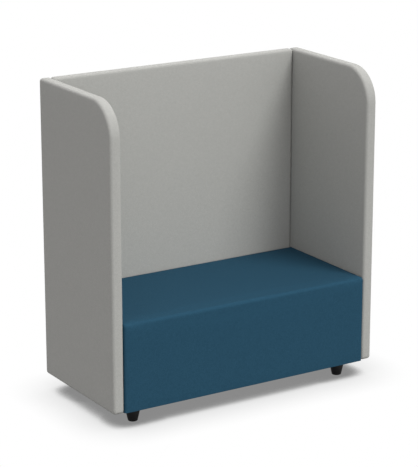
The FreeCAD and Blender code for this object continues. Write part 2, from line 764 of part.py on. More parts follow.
def leg_plate(corner, x, y):
    plate_top = f"({block_top} + leg_plate_thickness)"
    nut_top = f"({plate_top} + leg_nut_height)"
    half = "leg_plate / 2"
    plate = block(f"leg_plate_{corner}", around(x, half), around(y, half), (block_top, plate_top))
    nut = hexagon(f"leg_nut_{corner}", "z", (plate_top, nut_top), (x, y), "leg_nut_flats")
    bore = rod(f"leg_bore_{corner}", "z", (block_top, nut_top), (x, y), stud_thread)
    return cut(f"leg_plate_{corner}_bored", joined(f"leg_plate_{corner}_blank", [plate, nut]), [bore])


def foot(corner, x, y):
    floor = "(underside_height - stud_depth)"
    profile = [
        ("0", "0"),
        ("(foot_bottom_diameter / 2)", "0"),
        ("(foot_top_diameter / 2)", "underside_height"),
        (stud_thread, "underside_height"),
        (stud_thread, floor),
        ("0", floor),
    ]
    body = doc.addObject("PartDesign::Body", f"foot_body_{corner}")
    sketch = polygon(body, "XZ_Plane", profile)
    turned = body.newObject("PartDesign::Revolution", f"foot_turned_{corner}")
    turned.Profile = sketch
    turned.ReferenceAxis = (sketch, ["V_Axis"])
    turned.Angle = 360
    doc.recompute()
    place(body, x, y)
    keep(body, f"foot_{corner}")
    stud = rod(f"stud_{corner}", "z", (floor, "(underside_height + stud_rise)"), (x, y), "(stud_diameter / 2)")
    keep(stud, f"foot_stud_{corner}")


def feet():
    plates = []
    for corner, x, y, side_sign, end_sign in foot_places():
        corner_block(corner, x, y, side_sign, end_sign)
        foot(corner, x, y)
        plates.append(leg_plate(corner, x, y))
    keep(group("leg_plates", plates), "foot_nut_plates")


for side, sign in sides:
    side_panel(side, sign)
back_panel()
hook_joints()
seat_frame()
seat_padding()
seat_cover()
dust_cover()
feet()
doc.recompute()

# Every object has to be sound before anything is written
for item in doc.Objects:
    if {"Invalid", "Error"} & set(item.State):
        raise RuntimeError(f"{item.Label} failed: {item.State}")
for node in nodes:
    if node.Shape.isNull() or not node.Shape.isValid():
        raise RuntimeError(f"{node.Label} has no sound shape")
    if not node.Shape.Solids or any(solid.Volume <= 0 for solid in node.Shape.Solids):
        raise RuntimeError(f"{node.Label} has no volume")

os.makedirs("parts", exist_ok=True)
for node in nodes:
    node.Shape.exportStep(f"parts/{node.Label}.step")
print(f"{len(nodes)} nodes, {sum(len(node.Shape.Solids) for node in nodes)} solids")
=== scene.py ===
import bmesh
import bpy
import math
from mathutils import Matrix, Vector


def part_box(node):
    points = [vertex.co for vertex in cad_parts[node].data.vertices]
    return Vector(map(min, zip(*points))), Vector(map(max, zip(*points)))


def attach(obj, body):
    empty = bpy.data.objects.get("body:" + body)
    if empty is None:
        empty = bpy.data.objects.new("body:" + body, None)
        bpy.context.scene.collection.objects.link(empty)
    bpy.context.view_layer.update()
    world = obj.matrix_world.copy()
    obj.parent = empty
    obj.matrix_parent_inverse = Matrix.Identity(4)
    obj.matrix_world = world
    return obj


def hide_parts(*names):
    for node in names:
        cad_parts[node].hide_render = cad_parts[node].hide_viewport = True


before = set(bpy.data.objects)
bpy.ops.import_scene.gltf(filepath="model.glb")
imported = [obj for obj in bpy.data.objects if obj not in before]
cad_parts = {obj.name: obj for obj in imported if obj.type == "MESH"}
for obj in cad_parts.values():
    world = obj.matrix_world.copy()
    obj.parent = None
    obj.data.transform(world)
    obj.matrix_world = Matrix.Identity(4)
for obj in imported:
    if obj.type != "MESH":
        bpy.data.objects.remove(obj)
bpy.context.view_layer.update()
print("frame loaded,", len(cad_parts), "nodes")

bpy.context.scene.view_settings.view_transform = "Standard"


# modelling helpers

samePlace = 1e-5  # points this near along an axis are level
squareOn = 0.99  # share of an axis in the normal of a face that looks along it


def objectMode():
    if bpy.context.mode != "OBJECT":
        bpy.ops.object.mode_set(mode="OBJECT")
    bpy.ops.object.select_all(action="DESELECT")


def selectOnly(piece):
    objectMode()
    piece.select_set(True)
    bpy.context.view_layer.objects.active = piece


def editOnly(piece):
    selectOnly(piece)
    bpy.ops.object.mode_set(mode="EDIT")


def applyPlace():
    bpy.ops.object.transform_apply(location=True, rotation=True, scale=True)


def alongAxis(axis, length=1.0):
    return Vector((axis == 0, axis == 1, axis == 2)) * length


def pick(piece, kind, test):  # selects what passes the test, and nothing else
    bpy.ops.mesh.select_mode(type=kind)
    bpy.ops.mesh.select_all(action="DESELECT")
    mesh = bmesh.from_edit_mesh(piece.data)
    items = {"FACE": mesh.faces, "EDGE": mesh.edges}[kind]
    chosen = [item for item in items if test(item)]
    for item in chosen:
        item.select_set(True)
    bmesh.update_edit_mesh(piece.data)
    return len(chosen)


def edgeAt(**place):  # a test for edges that lie wholly at the given x, y or z
    wanted = [("xyz".index(axis), value) for axis, value in place.items()]
    return lambda edge: all(abs(v.co[i] - value) < samePlace for v in edge.verts for i, value in wanted)


def roundEdges(piece, test, radius, steps):
    if pick(piece, "EDGE", test):
        bpy.ops.mesh.bevel(offset=radius, offset_type="OFFSET", segments=steps, profile=0.5,
                           affect="EDGES", clamp_overlap=False)


def addBlock(name, low, high):
    objectMode()
    bpy.ops.mesh.primitive_cube_add(size=1, location=(low + high) / 2)
    piece = bpy.context.object
    piece.name = piece.data.name = name
    piece.scale = high - low
    applyPlace()
    return piece


def cutGrid(axis, low, high, spacing):  # even bisect cuts across one axis
    count = max(1, round((high - low) / spacing))
    for i in range(1, count):
        bpy.ops.mesh.select_all(action="SELECT")
        place = low + (high - low) * i / count
        bpy.ops.mesh.bisect(plane_co=alongAxis(axis, place), plane_no=alongAxis(axis))


def mergePoints(distance):  # and turns the faces outwards
    bpy.ops.mesh.select_all(action="SELECT")
    bpy.ops.mesh.remove_doubles(threshold=distance)
    bpy.ops.mesh.normals_make_consistent(inside=False)


clothRun = {"frames": 20, "quality": 6, "leastMove": 1e-9}


def swell(piece, held, pressure, cap):  # blows the cover up a little where no board holds it
    scene = bpy.context.scene
    selectOnly(piece)
    start = [v.co.copy() for v in piece.data.vertices]
    pins = piece.vertex_groups.new(name="held")
    pins.add([i for i, p in enumerate(start) if held(p)], 1.0, "REPLACE")
    cloth = piece.modifiers.new("swell", "CLOTH")
    cloth.settings.vertex_group_mass = "held"
    cloth.settings.use_pressure = True
    cloth.settings.uniform_pressure_force = pressure
    cloth.settings.effector_weights.gravity = 0
    cloth.settings.quality = clothRun["quality"]
    cloth.point_cache.frame_start = 1
    cloth.point_cache.frame_end = clothRun["frames"]
    for step in range(1, clothRun["frames"] + 1):
        scene.frame_set(step)
    bpy.ops.object.modifier_apply(modifier="swell")
    scene.frame_set(1)
    piece.vertex_groups.clear()
    most = 0
    for v, p in zip(piece.data.vertices, start):
        move = v.co - p
        if move.length > clothRun["leastMove"]:
            most = max(most, move.length)
            v.co = p + move.normalized() * cap(p) * math.tanh(move.length / cap(p))
    print(piece.name, "swelled by", round(1000 * most, 2), "mm before the cap")


def smoothShade(piece, degrees):
    selectOnly(piece)
    bpy.ops.object.shade_smooth_by_angle(angle=math.radians(degrees))


def dress(piece, material):
    piece.data.materials.clear()
    piece.data.materials.append(material)


# node helpers

def addNode(tree, kind, **settings):
    node = tree.nodes.new(kind)
    for key, value in settings.items():
        setattr(node, key, value)
    return node


def feed(tree, socket, value):
    if isinstance(value, bpy.types.NodeSocket):
        tree.links.new(value, socket)
    else:
        socket.default_value = value


def calc(tree, operation, a, b=0.0, c=0.0):
    node = addNode(tree, "ShaderNodeMath", operation=operation)
    for socket, value in zip(node.inputs, (a, b, c)):
        feed(tree, socket, value)
    return node.outputs[0]


def spread(tree, value, low, high, toLow=0.0, toHigh=1.0):
    node = addNode(tree, "ShaderNodeMapRange")
    for socket, item in zip(node.inputs, (value, low, high, toLow, toHigh)):
        feed(tree, socket, item)
    return node.outputs[0]


def objectCoords(tree):
    return addNode(tree, "ShaderNodeTexCoord").outputs["Object"]


def noise(tree, vector, scale, detail=2.0, roughness=0.5):
    node = addNode(tree, "ShaderNodeTexNoise")
    feed(tree, node.inputs["Vector"], vector)
    feed(tree, node.inputs["Scale"], scale)
    feed(tree, node.inputs["Detail"], detail)
    feed(tree, node.inputs["Roughness"], roughness)
    return node.outputs["Fac"]


def cells(tree, vector, scale, randomness=1.0):
    node = addNode(tree, "ShaderNodeTexVoronoi")
    feed(tree, node.inputs["Vector"], vector)
    feed(tree, node.inputs["Scale"], scale)
    feed(tree, node.inputs["Randomness"], randomness)
    return node.outputs


def scaleVector(tree, vector, factor):
    node = addNode(tree, "ShaderNodeVectorMath", operation="SCALE")
    feed(tree, node.inputs[0], vector)
    feed(tree, node.inputs["Scale"], factor)
    return node.outputs[0]


def splitVector(tree, vector):
    node = addNode(tree, "ShaderNodeSeparateXYZ")
    feed(tree, node.inputs[0], vector)
    return node.outputs


def blendColours(tree, factor, a, b):
    node = addNode(tree, "ShaderNodeMix", data_type="RGBA")
    feed(tree, node.inputs[0], factor)
    feed(tree, node.inputs[6], a)
    feed(tree, node.inputs[7], b)
    return node.outputs[2]


def newGroup(name, inputs, outputs):
    tree = bpy.data.node_groups.new(name, "ShaderNodeTree")
    for title, value in inputs.items():
        socket = tree.interface.new_socket(title, in_out="INPUT", socket_type="NodeSocketFloat")
        socket.default_value = value
    for title in outputs:
        tree.interface.new_socket(title, in_out="OUTPUT", socket_type="NodeSocketFloat")
    return tree, tree.nodes.new("NodeGroupInput").outputs, tree.nodes.new("NodeGroupOutput").inputs


def useGroup(tree, group, **values):
    node = addNode(tree, "ShaderNodeGroup", node_tree=group)
    for title, value in values.items():
        feed(tree, node.inputs[title], value)
    return node.outputs


def newMaterial(name):
    material = bpy.data.materials.new(name)
    material.use_nodes = True
    return material, material.node_tree, material.node_tree.nodes["Principled BSDF"]


def addBump(tree, shader, height, finish):
    bump = addNode(tree, "ShaderNodeBump")
    feed(tree, bump.inputs["Height"], height)
    feed(tree, bump.inputs["Distance"], finish["relief"])
    feed(tree, bump.inputs["Strength"], finish["reliefStrength"])
    tree.links.new(bump.outputs["Normal"], shader.inputs["Normal"])


# plain weave, laid on each side of the piece by the way it faces, with a mask of the hollows between threads
# for painted shade

weaveForm = {"wander": 90.0, "sideSharpness": 6.0, "crossing": 0.2, "leastShare": 1e-4,
             "fineScale": 0.55, "fineShare": 0.85, "broadScale": 0.12, "broadShare": 0.15,
             "fleckSpan": (0.34, 0.66), "hollowShadeSpan": (0.12, 0.5)}


def weaveGroup():
    tree, given, out = newGroup("plainWeave", {"Threads": 700.0, "Slub": 0.3}, ["Height", "Fleck", "HollowShade"])
    coords = addNode(tree, "ShaderNodeTexCoord").outputs
    wander = addNode(tree, "ShaderNodeTexNoise")
    feed(tree, wander.inputs["Vector"], coords["Object"])
    feed(tree, wander.inputs["Scale"], weaveForm["wander"])
    place = addNode(tree, "ShaderNodeVectorMath", operation="ADD")
    feed(tree, place.inputs[0], scaleVector(tree, coords["Object"], given["Threads"]))
    feed(tree, place.inputs[1], scaleVector(tree, wander.outputs["Color"], given["Slub"]))
    threads = splitVector(tree, place.outputs[0])
    waves = [calc(tree, "SINE", calc(tree, "MULTIPLY", threads[i], math.pi)) for i in range(3)]
    sizes = [calc(tree, "ABSOLUTE", wave) for wave in waves]
    facing = [calc(tree, "ABSOLUTE", part) for part in splitVector(tree, coords["Normal"])]
    shares = [calc(tree, "POWER", part, weaveForm["sideSharpness"]) for part in facing]
    topShare = calc(tree, "ADD", shares[2], weaveForm["leastShare"])
    total = calc(tree, "ADD", calc(tree, "ADD", shares[0], shares[1]), topShare)
    height = 0.0
    for flat, (u, v) in enumerate(((1, 2), (0, 2), (0, 1))):
        crossing = calc(tree, "MULTIPLY", waves[u], waves[v])
        over = spread(tree, crossing, -weaveForm["crossing"], weaveForm["crossing"])
        warp = calc(tree, "MULTIPLY", sizes[u], over)
        weft = calc(tree, "MULTIPLY", sizes[v], calc(tree, "SUBTRACT", 1.0, over))
        height = calc(tree, "MULTIPLY_ADD", calc(tree, "ADD", warp, weft), shares[flat], height)
    height = calc(tree, "DIVIDE", height, total)
    fineScale = calc(tree, "MULTIPLY", given["Threads"], weaveForm["fineScale"])
    broadScale = calc(tree, "MULTIPLY", given["Threads"], weaveForm["broadScale"])
    fine = noise(tree, coords["Object"], fineScale, detail=3.0, roughness=0.6)
    broad = calc(tree, "MULTIPLY", noise(tree, coords["Object"], broadScale), weaveForm["broadShare"])
    fleck = calc(tree, "MULTIPLY_ADD", fine, weaveForm["fineShare"], broad)
    feed(tree, out["Height"], height)
    feed(tree, out["Fleck"], spread(tree, fleck, *weaveForm["fleckSpan"]))
    # this mask is 1 where the threads lie low; the covers paint shade there
    feed(tree, out["HollowShade"], spread(tree, height, *weaveForm["hollowShadeSpan"], toLow=1.0, toHigh=0.0))
    return tree


# slow change of tone over a surface

midTone = 0.5  # what the tone swings about
toneSwing = 4.0  # how far it swings for an amount of 1


def toneGroup():
    tree, given, out = newGroup("slowTone", {"Scale": 4.0, "Amount": 0.04}, ["Tone"])
    slow = noise(tree, objectCoords(tree), given["Scale"], detail=3.0, roughness=0.55)
    change = calc(tree, "SUBTRACT", slow, midTone)
    swing = calc(tree, "MULTIPLY", given["Amount"], toneSwing)
    feed(tree, out["Tone"], calc(tree, "MULTIPLY_ADD", change, swing, midTone))
    return tree


plainWeave = weaveGroup()
slowTone = toneGroup()


# woven covers

# the darker gap colour is painted shade: a dimmer tone of the same yarn, laid in the hollows between threads
greyCloth = {"dark": (0.358, 0.362, 0.340, 1), "light": (0.462, 0.468, 0.440, 1),
             "hollowShadeColour": (0.270, 0.273, 0.257, 1), "hollowShadeShare": 0.5, "threads": 760.0, "slub": 0.35,
             "relief": 0.00035, "reliefStrength": 0.3}
blueCloth = {"dark": (0.0168, 0.0589, 0.0963, 1), "light": (0.0260, 0.0838, 0.1333, 1),
             "hollowShadeColour": (0.0122, 0.0427, 0.070, 1), "hollowShadeShare": 0.5, "threads": 700.0, "slub": 0.3,
             "relief": 0.0004, "reliefStrength": 0.3}
clothFinish = {"toneScale": 3.0, "toneAmount": 0.03, "roughSpan": (0.98, 0.86),
               "specular": 0.04, "sheen": 0.01, "sheenRoughness": 0.5}


def wovenMaterial(name, cloth):
    material, tree, shader = newMaterial(name)
    weave = useGroup(tree, plainWeave, Threads=cloth["threads"], Slub=cloth["slub"])
    tone = useGroup(tree, slowTone, Scale=clothFinish["toneScale"], Amount=clothFinish["toneAmount"])
    mixed = calc(tree, "ADD", weave["Fleck"], calc(tree, "SUBTRACT", tone["Tone"], midTone))
    yarn = blendColours(tree, mixed, cloth["dark"], cloth["light"])
    # painted shade in the weave's hollows, blended in where the threads lie low
    hollowShade = calc(tree, "MULTIPLY", weave["HollowShade"], cloth["hollowShadeShare"])
    feed(tree, shader.inputs["Base Color"], blendColours(tree, hollowShade, yarn, cloth["hollowShadeColour"]))
    feed(tree, shader.inputs["Roughness"], spread(tree, weave["Height"], 0.0, 1.0, *clothFinish["roughSpan"]))
    shader.inputs["Specular IOR Level"].default_value = clothFinish["specular"]
    shader.inputs["Sheen Weight"].default_value = clothFinish["sheen"]
    shader.inputs["Sheen Roughness"].default_value = clothFinish["sheenRoughness"]
    addBump(tree, shader, weave["Height"], cloth)
    return material


# moulded plastic of the feet

footPlastic = {"dark": (0.0055, 0.0055, 0.0056, 1), "light": (0.0100, 0.0100, 0.0102, 1),
               "grain": 1600.0, "grainSpan": (0.3, 0.7), "toneScale": 30.0, "toneAmount": 0.1,
               "roughSpan": (0.42, 0.6), "specular": 0.19, "relief": 0.0001, "reliefStrength": 0.25}


def mouldedMaterial(name, plastic):  # with a fine spark grain
    material, tree, shader = newMaterial(name)
    grain = noise(tree, objectCoords(tree), plastic["grain"], roughness=0.6)
    tone = useGroup(tree, slowTone, Scale=plastic["toneScale"], Amount=plastic["toneAmount"])
    colour = blendColours(tree, tone["Tone"], plastic["dark"], plastic["light"])
    feed(tree, shader.inputs["Base Color"], colour)
    feed(tree, shader.inputs["Roughness"], spread(tree, grain, *plastic["grainSpan"], *plastic["roughSpan"]))
    shader.inputs["Specular IOR Level"].default_value = plastic["specular"]
    addBump(tree, shader, grain, plastic)
    return material


# zinc plated steel of the fittings and staples

zincPlate = {"dark": (0.42, 0.43, 0.44, 1), "light": (0.62, 0.62, 0.60, 1), "spangle": 260.0,
             "toneScale": 40.0, "toneAmount": 0.15, "toneSpan": (0.2, 0.8), "roughSpan": (0.3, 0.5)}


def zincMaterial(name, zinc):  # with a spangle and faint stains
    material, tree, shader = newMaterial(name)
    grains = cells(tree, objectCoords(tree), zinc["spangle"])
    tone = useGroup(tree, slowTone, Scale=zinc["toneScale"], Amount=zinc["toneAmount"])
    spangle = calc(tree, "MULTIPLY", grains["Distance"], tone["Tone"])
    feed(tree, shader.inputs["Base Color"], blendColours(tree, spangle, zinc["dark"], zinc["light"]))
    feed(tree, shader.inputs["Roughness"], spread(tree, tone["Tone"], *zinc["toneSpan"], *zinc["roughSpan"]))
    shader.inputs["Metallic"].default_value = 1.0
    return material


# boards of pressed wood chips

panelChips = {"dark": (0.30, 0.21, 0.12, 1), "light": (0.60, 0.45, 0.28, 1), "chip": 0.004}
frameChips = {"dark": (0.36, 0.25, 0.14, 1), "light": (0.62, 0.47, 0.30, 1), "chip": 0.009}
boardFinish = {"fibre": 900.0, "fibreSpan": (0.3, 0.7), "toneScale": 8.0, "toneAmount": 0.1,
               "flakeShare": 0.5, "fibreShare": 0.25, "roughSpan": (0.7, 0.9),
               "relief": 0.0004, "reliefStrength": 0.4}


def boardMaterial(name, chips):
    material, tree, shader = newMaterial(name)
    coords = objectCoords(tree)
    flake = addNode(tree, "ShaderNodeSeparateColor")
    feed(tree, flake.inputs[0], cells(tree, coords, 1.0 / chips["chip"])["Color"])
    fibre = noise(tree, coords, boardFinish["fibre"], detail=3.0, roughness=0.6)
    tone = useGroup(tree, slowTone, Scale=boardFinish["toneScale"], Amount=boardFinish["toneAmount"])
    strands = calc(tree, "MULTIPLY", calc(tree, "ADD", fibre, tone["Tone"]), boardFinish["fibreShare"])
    mixed = calc(tree, "MULTIPLY_ADD", flake.outputs[0], boardFinish["flakeShare"], strands)
    rough = spread(tree, fibre, *boardFinish["fibreSpan"], *boardFinish["roughSpan"])
    feed(tree, shader.inputs["Base Color"], blendColours(tree, mixed, chips["dark"], chips["light"]))
    feed(tree, shader.inputs["Roughness"], rough)
    addBump(tree, shader, mixed, boardFinish)
    return material


# spun fleece of the dust cover, with its grid of pressed dots

dustFleece = {"dark": (0.006, 0.006, 0.006, 1), "light": (0.022, 0.022, 0.022, 1), "dots": 500.0,
              "dotRandomness": 0.1, "dotSpan": (0.15, 0.4), "strands": 1200.0, "strandShare": 0.4,
              "roughSpan": (0.6, 0.9), "relief": 0.0003, "reliefStrength": 0.4}


def fleeceMaterial(name, fleece):
    material, tree, shader = newMaterial(name)
    coords = objectCoords(tree)
    dots = cells(tree, coords, fleece["dots"], fleece["dotRandomness"])
    raised = spread(tree, dots["Distance"], *fleece["dotSpan"])
    strands = noise(tree, coords, fleece["strands"], detail=4.0, roughness=0.7)
    shade = calc(tree, "MULTIPLY", raised, strands)
    feed(tree, shader.inputs["Base Color"], blendColours(tree, shade, fleece["dark"], fleece["light"]))
    feed(tree, shader.inputs["Roughness"], spread(tree, raised, 0.0, 1.0, *fleece["roughSpan"]))
    addBump(tree, shader, calc(tree, "MULTIPLY_ADD", strands, fleece["strandShare"], raised), fleece)
    return material


greyFabric = wovenMaterial("greyFabric", greyCloth)
blueFabric = wovenMaterial("blueFabric", blueCloth)
blackMoulding = mouldedMaterial("blackMoulding", footPlastic)
zincSteel = zincMaterial("zincSteel", zincPlate)
panelBoard = boardMaterial("panelBoard", panelChips)
frameBoard = boardMaterial("frameBoard", frameChips)
blackFleece = fleeceMaterial("blackFleece", dustFleece)
print("materials made")


# upholstered panels

sidePanel = {"arris": 0.013, "arrisSteps": 6, "frontCorner": 0.148, "frontSteps": 22, "smallCorner": 0.014,
             "smallSteps": 5, "grid": 0.020, "mergeDistance": 0.0004, "smoothAngle": 50, "fill": 0.95,
             "outerCrown": 0.0010, "innerCrown": 0.0003, "heldRim": 0.010, "pressure": 4.0}
backPanel = {"arris": 0.0115, "arrisSteps": 6, "smallCorner": 0.0125,
             "smallSteps": 5, "grid": 0.020, "mergeDistance": 0.0004, "smoothAngle": 50, "fill": 0.95,
             "outerCrown": 0.0010, "innerCrown": 0.0003, "heldRim": 0.010, "pressure": 4.0}
coverSlot = {"lap": 0.003, "end": 0.020, "depth": 0.0013, "level": 1e-4}  # between the flaps under a panel


def openSlot(piece, core, flat, along, low):  # shows the core's lower edge between the flaps
    coreLow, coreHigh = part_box(core)
    walls = {}
    for axis, margin in ((flat, coverSlot["lap"]), (along, coverSlot["end"])):
        walls[axis] = (coreLow[axis] + margin, coreHigh[axis] - margin)

    def under(face):
        return face.normal.z < -squareOn and face.calc_center_median().z < low.z + coverSlot["level"]

    def inSlot(face):
        middle = face.calc_center_median()
        return under(face) and all(first < middle[axis] < last for axis, (first, last) in walls.items())

    for axis, places in walls.items():
        for place in places:
            pick(piece, "FACE", under)
            bpy.ops.mesh.bisect(plane_co=alongAxis(axis, place), plane_no=alongAxis(axis))
    pick(piece, "FACE", inSlot)
    bpy.ops.mesh.extrude_region_move(TRANSFORM_OT_translate={"value": (0, 0, coverSlot["depth"])})
    piece.active_material_index = 1
    bpy.ops.object.material_slot_assign()


def upholster(name, node, core, flat, inward, corners, look):
    low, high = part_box(node)
    along = 1 - flat
    piece = addBlock(name, low, high)
    piece.data.materials.append(greyFabric)
    piece.data.materials.append(panelBoard)
    editOnly(piece)
    for place, radius, steps in corners:
        roundEdges(piece, edgeAt(**place), radius, steps)
    axis = "xyz"[flat]
    first, second = edgeAt(**{axis: low[flat]}), edgeAt(**{axis: high[flat]})
    roundEdges(piece, lambda edge: first(edge) or second(edge), look["arris"], look["arrisSteps"])
    cutGrid(along, low[along], high[along], look["grid"])
    cutGrid(2, low.z, high.z, look["grid"])
    mergePoints(look["mergeDistance"])
    openSlot(piece, core, flat, along, low)
    objectMode()

    rim = look["arris"] + look["heldRim"]
    frontCorner = look.get("frontCorner", 0)
    inner = high[flat] if inward > 0 else low[flat]

    def held(p):
        if low[flat] + samePlace < p[flat] < high[flat] - samePlace:
            return True
        for i in (along, 2):
            if p[i] < low[i] + rim or p[i] > high[i] - rim:
                return True
        if frontCorner:  # the round upper front corner of a side panel
            y, z = low.y + frontCorner - p.y, p.z - high.z + frontCorner
            return y > 0 and z > 0 and math.hypot(y, z) > frontCorner - rim
        return False

    def cap(p):
        return look["innerCrown"] if abs(p[flat] - inner) < look["arris"] else look["outerCrown"]

    swell(piece, held, look["pressure"], cap)
    smoothShade(piece, look["smoothAngle"])
    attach(piece, "bench")
    return piece


def makeSidePanels():
    for side, inward in (("left", 1), ("right", -1)):
        node = side + "_panel_"
        low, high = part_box(node + "cover")
        corners = [({"y": low.y, "z": high.z}, sidePanel["frontCorner"], sidePanel["frontSteps"])]
        for y, z in ((high.y, high.z), (low.y, low.z), (high.y, low.z)):
            corners.append(({"y": y, "z": z}, sidePanel["smallCorner"], sidePanel["smallSteps"]))
        piece = upholster(side + "Panel", node + "cover", node + "core", 0, inward, corners, sidePanel)
        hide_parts(node + "cover", node + "outer_foam", node + "inner_foam", node + "edge_strip")
        print(piece.name, "done")


def makeBackPanel():
    low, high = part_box("back_panel_cover")
    ends = [{"x": x, "z": high.z} for x in (low.x, high.x)]
    corners = [(place, backPanel["smallCorner"], backPanel["smallSteps"]) for place in ends]
    piece = upholster("backPanel", "back_panel_cover", "back_panel_core", 1, -1, corners, backPanel)
    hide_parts("back_panel_cover", "back_panel_front_foam", "back_panel_rear_foam",
                "back_panel_edge_strip")
    print(piece.name, "done")


makeSidePanels()
makeBackPanel()


# seat

seatPad = {"frontRound": 0.0155, "frontSteps": 8, "rearRound": 0.015, "rearSteps": 6, "endRound": 0.010,
           "endSteps": 5, "endMargin": 0.001, "bottomRound": 0.004, "bottomSteps": 3, "grid": 0.020,
           "mergeDistance": 0.0003, "smoothAngle": 50, "crown": 0.002, "frontSwell": 0.0010, "pressure": 4.0,
           "heldBase": 0.020, "heldRear": 0.008, "heldEnd": 0.0001, "fill": 0.9}


def makeSeat():
    low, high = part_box("seat_cover")
    frontFace = low.y
    low.y += seatPad["frontSwell"]
    high.z -= seatPad["crown"]
    piece = addBlock("seat", low, high)
    editOnly(piece)
    roundEdges(piece, edgeAt(y=low.y, z=high.z), seatPad["frontRound"], seatPad["frontSteps"])
    roundEdges(piece, edgeAt(y=high.y, z=high.z), seatPad["rearRound"], seatPad["rearSteps"])
    ends = edgeAt(x=low.x), edgeAt(x=high.x)

    def endRim(edge):  # the rims of both ends, without their lower and rear edges
        if not (ends[0](edge) or ends[1](edge)):
            return False
        middle = (edge.verts[0].co + edge.verts[1].co) / 2
        return middle.z > low.z + seatPad["endMargin"] and middle.y < high.y - seatPad["endMargin"]

    roundEdges(piece, endRim, seatPad["endRound"], seatPad["endSteps"])
    roundEdges(piece, edgeAt(y=low.y, z=low.z), seatPad["bottomRound"], seatPad["bottomSteps"])
    for axis in range(3):
        cutGrid(axis, low[axis], high[axis], seatPad["grid"])
    mergePoints(seatPad["mergeDistance"])
    objectMode()

    def held(p):
        if p.z < low.z + seatPad["heldBase"] or p.y > high.y - seatPad["heldRear"]:
            return True
        return abs(p.x) > high.x - seatPad["endRound"] - seatPad["heldEnd"]

    swell(piece, held, seatPad["pressure"], lambda p: seatPad["crown"])
    for v in piece.data.vertices:
        v.co.y = max(v.co.y, frontFace)
    smoothShade(piece, seatPad["smoothAngle"])
    dress(piece, blueFabric)
    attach(piece, "bench")
    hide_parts("seat_cover", "seat_foam", "seat_front_padding")
    print("seat done")


makeSeat()


# dust cover under the seat

dustSheet = {"thickness": 0.0008, "rise": 0.0009, "sag": 0.003, "cuts": 24, "smoothAngle": 40}


def makeDustCover():
    low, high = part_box("dust_cover")
    middle, half = (low + high) / 2, (high - low) / 2
    objectMode()
    bpy.ops.mesh.primitive_plane_add(size=1, location=(middle.x, middle.y, low.z + dustSheet["rise"]))
    piece = bpy.context.object
    piece.name = piece.data.name = "dustCover"
    piece.scale = (high.x - low.x, high.y - low.y, 1)
    applyPlace()
    editOnly(piece)
    bpy.ops.mesh.select_all(action="SELECT")
    bpy.ops.mesh.subdivide(number_cuts=dustSheet["cuts"])
    bpy.ops.mesh.flip_normals()
    selectOnly(piece)
    for v in piece.data.vertices:
        u, w = (v.co.x - middle.x) / half.x, (v.co.y - middle.y) / half.y
        v.co.z -= dustSheet["sag"] * (max(0, 1 - u * u) * max(0, 1 - w * w)) ** 2
    wall = piece.modifiers.new("wall", "SOLIDIFY")
    wall.thickness = dustSheet["thickness"]
    wall.offset = 1.0
    bpy.ops.object.modifier_apply(modifier="wall")
    smoothShade(piece, dustSheet["smoothAngle"])
    dress(piece, blackFleece)
    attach(piece, "bench")
    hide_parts("dust_cover")
    print("dust cover done")


makeDustCover()


# staples of the panels' flaps and of the dust cover

stapleSize = {"length": 0.0115, "width": 0.0012, "height": 0.0006, "proud": 0.0004, "round": 0.0003,
              "roundSteps": 2, "tip": 0.0001, "smoothAngle": 40, "spacing": 0.048,
              "panelMargin": 0.035, "sheetInset": 0.006, "sheetMargin": 0.020}


def stapleBar(axis):  # one staple's crown, lying along x or y
    half = Vector((stapleSize["width"], stapleSize["width"], stapleSize["height"])) / 2
    half[axis] = stapleSize["length"] / 2
    bar = addBlock("stapleBar", -half, half)
    editOnly(bar)

    def lengthwise(edge):
        return abs(edge.verts[0].co[axis] - edge.verts[1].co[axis]) > half[axis]

    roundEdges(bar, lengthwise, stapleSize["round"], stapleSize["roundSteps"])
    pick(bar, "FACE", lambda face: abs(face.normal[axis]) > squareOn)
    bpy.ops.mesh.inset(thickness=stapleSize["tip"], depth=stapleSize["tip"])
    smoothShade(bar, stapleSize["smoothAngle"])
    return bar


def stapleRows(low, high, level, flat, inset, margin):  # along the two edges that face one axis
    along = 1 - flat
    rows = []
    for edge in (low[flat] + inset, high[flat] - inset):
        first, last = Vector((0, 0, level)), Vector((0, 0, level))
        first[flat] = last[flat] = edge
        first[along], last[along] = low[along] + margin, high[along] - margin
        rows.append((along, first, last))
    return rows


def makeStaples():
    rows = []  # direction, first point, last point
    for side, flat in (("left", 0), ("right", 0), ("back", 1)):
        low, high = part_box(side + "_panel_core")
        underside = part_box(side + "_panel_cover")[0].z
        rows += stapleRows(low, high, underside, flat, coverSlot["lap"] / 2, stapleSize["panelMargin"])
    low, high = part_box("dust_cover")
    for flat in (0, 1):
        rows += stapleRows(low, high, low.z, flat, stapleSize["sheetInset"], stapleSize["sheetMargin"])
    bars = {axis: stapleBar(axis) for axis in (0, 1)}
    copies = []
    for axis, first, last in rows:
        count = round((last - first).length / stapleSize["spacing"])
        for i in range(count + 1):
            copy = bars[axis].copy()
            copy.data = bars[axis].data.copy()
            copy.location = first.lerp(last, i / count)
            copy.location.z += stapleSize["height"] / 2 - stapleSize["proud"]
            bpy.context.scene.collection.objects.link(copy)
            copies.append(copy)
    objectMode()
    for bar in bars.values():
        bpy.data.objects.remove(bar)
    for copy in copies:
        copy.select_set(True)
    bpy.context.view_layer.objects.active = copies[0]
    applyPlace()
    bpy.ops.object.join()
    piece = bpy.context.object
    piece.name = piece.data.name = "staples"
    dress(piece, zincSteel)
    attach(piece, "bench")
    print(len(copies), "staples done")


makeStaples()


# feet

footShape = {"bottom": 0.0202, "sides": 72, "lowerRound": 0.0030, "lowerSteps": 4, "upperRound": 0.0010,
             "upperSteps": 3, "padInset": 0.004, "padWall": 0.0004, "padDepth": 0.0006, "smoothAngle": 35}


